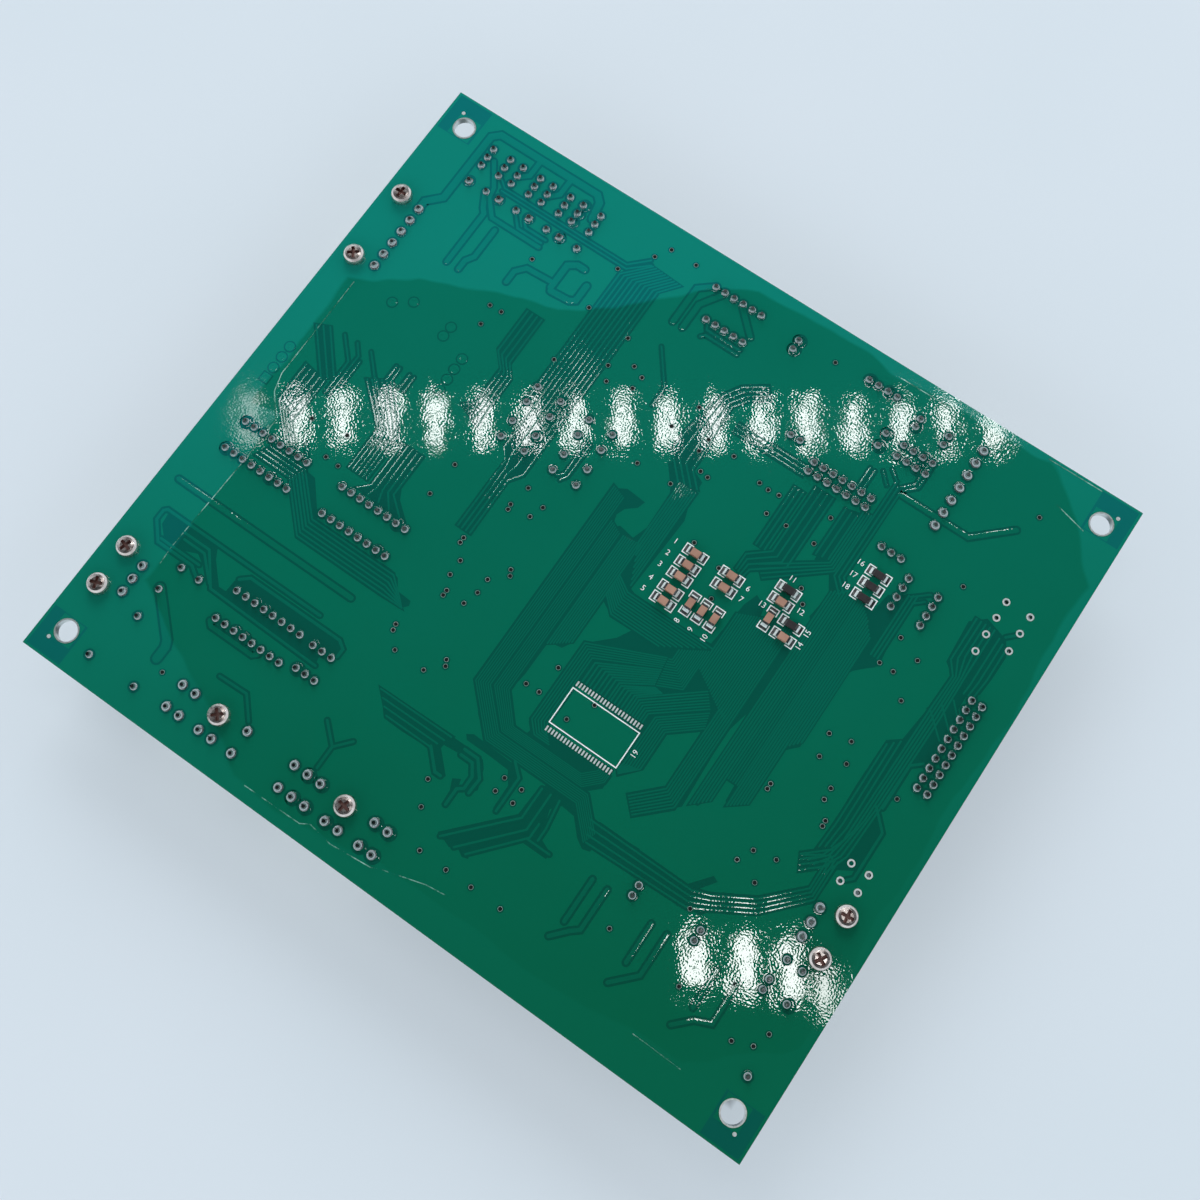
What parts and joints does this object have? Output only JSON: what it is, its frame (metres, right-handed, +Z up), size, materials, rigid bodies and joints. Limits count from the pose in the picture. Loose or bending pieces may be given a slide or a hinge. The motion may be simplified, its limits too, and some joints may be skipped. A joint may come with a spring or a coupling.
{
  "type": "elevator control board",
  "caption": "Rectangular control circuit board lying solder side up, with soldered leads, chip parts and screwed connectors; relays, chips and push switches on its underside.",
  "frame": {"origin": "on the supporting surface, under the middle of the board", "axes": "+X along the board's long side, +Y along its short side, +Z up out of the solder side"},
  "size_m": [0.19, 0.166, 0.0185],
  "materials": {
    "board_laminate": "green solder mask over glass laminate, glossy clear coating",
    "tinned_metal": "bright solder and tinned leads",
    "nickel_steel": "nickel plated steel",
    "chip_ceramic": "brown fired ceramic",
    "chip_black": "black glazed",
    "housing_nylon": "natural nylon",
    "relay_plastic": "ivory moulding",
    "black_moulding": "black moulding",
    "button_plastic": "black moulding",
    "can_sleeve": "shrunk sleeve",
    "absorber_coating": "blue dipped resin",
    "film_coating": "amber dipped resin",
    "resistor_coating": "beige lacquer"
  },
  "bodies": {
    "root": {"circuit_board": "board_laminate", "solder_joints": "tinned_metal", "tinned_lands": "tinned_metal", "fixing_screws": "nickel_steel", "chip_capacitors": "chip_ceramic", "chip_resistors": "chip_black", "chip_inductor": "chip_black", "chip_terminations": "tinned_metal", "six_way_housing": "housing_nylon", "six_way_contacts": "tinned_metal", "left_three_way_housing": "housing_nylon", "left_three_way_contacts": "tinned_metal", "right_three_way_housing": "housing_nylon", "right_three_way_contacts": "tinned_metal", "supply_housing": "housing_nylon", "supply_contacts": "tinned_metal", "output_housing": "housing_nylon", "output_contacts": "tinned_metal", "seven_way_housing": "housing_nylon", "seven_way_contacts": "tinned_metal", "signal_relay_1": "relay_plastic", "signal_relay_2": "relay_plastic", "signal_relay_3": "relay_plastic", "signal_relay_4": "relay_plastic", "switch_base_1": "black_moulding", "switch_base_2": "black_moulding", "switch_base_3": "black_moulding", "switch_base_4": "black_moulding", "switch_covers": "nickel_steel", "switch_domes": "nickel_steel", "switch_terminals": "tinned_metal", "driver_chip_1": "black_moulding", "driver_chip_2": "black_moulding", "driver_chip_3": "black_moulding", "small_chip": "black_moulding", "chip_leads": "tinned_metal", "power_module": "black_moulding", "pulse_transformer": "black_moulding", "ribbon_header": "black_moulding", "service_header": "black_moulding", "header_posts": "tinned_metal", "post_strips": "black_moulding", "processor": "black_moulding", "processor_leads": "tinned_metal", "memory_1": "black_moulding", "memory_2": "black_moulding", "memory_leads": "tinned_metal", "filter_capacitor_1": "can_sleeve", "filter_capacitor_2": "can_sleeve", "filter_capacitor_3": "can_sleeve", "filter_capacitor_4": "can_sleeve", "surge_absorber": "absorber_coating", "film_capacitor": "film_coating", "axial_resistor": "resistor_coating", "wire_leads": "tinned_metal"},
    "button_1": {"switch_button_1": "button_plastic"},
    "button_2": {"switch_button_2": "button_plastic"},
    "button_3": {"switch_button_3": "button_plastic"},
    "button_4": {"switch_button_4": "button_plastic"}
  },
  "joints": [
    {"name": "press_1", "type": "slide", "parent": "root", "child": "button_1", "axis": [0, 0, 1], "range_m": [0, 0.00025], "stiffness_N_per_m": 1000},
    {"name": "press_2", "type": "slide", "parent": "root", "child": "button_2", "axis": [0, 0, 1], "range_m": [0, 0.00025], "stiffness_N_per_m": 1000},
    {"name": "press_3", "type": "slide", "parent": "root", "child": "button_3", "axis": [0, 0, 1], "range_m": [0, 0.00025], "stiffness_N_per_m": 1000},
    {"name": "press_4", "type": "slide", "parent": "root", "child": "button_4", "axis": [0, 0, 1], "range_m": [0, 0.00025], "stiffness_N_per_m": 1000}
  ]
}
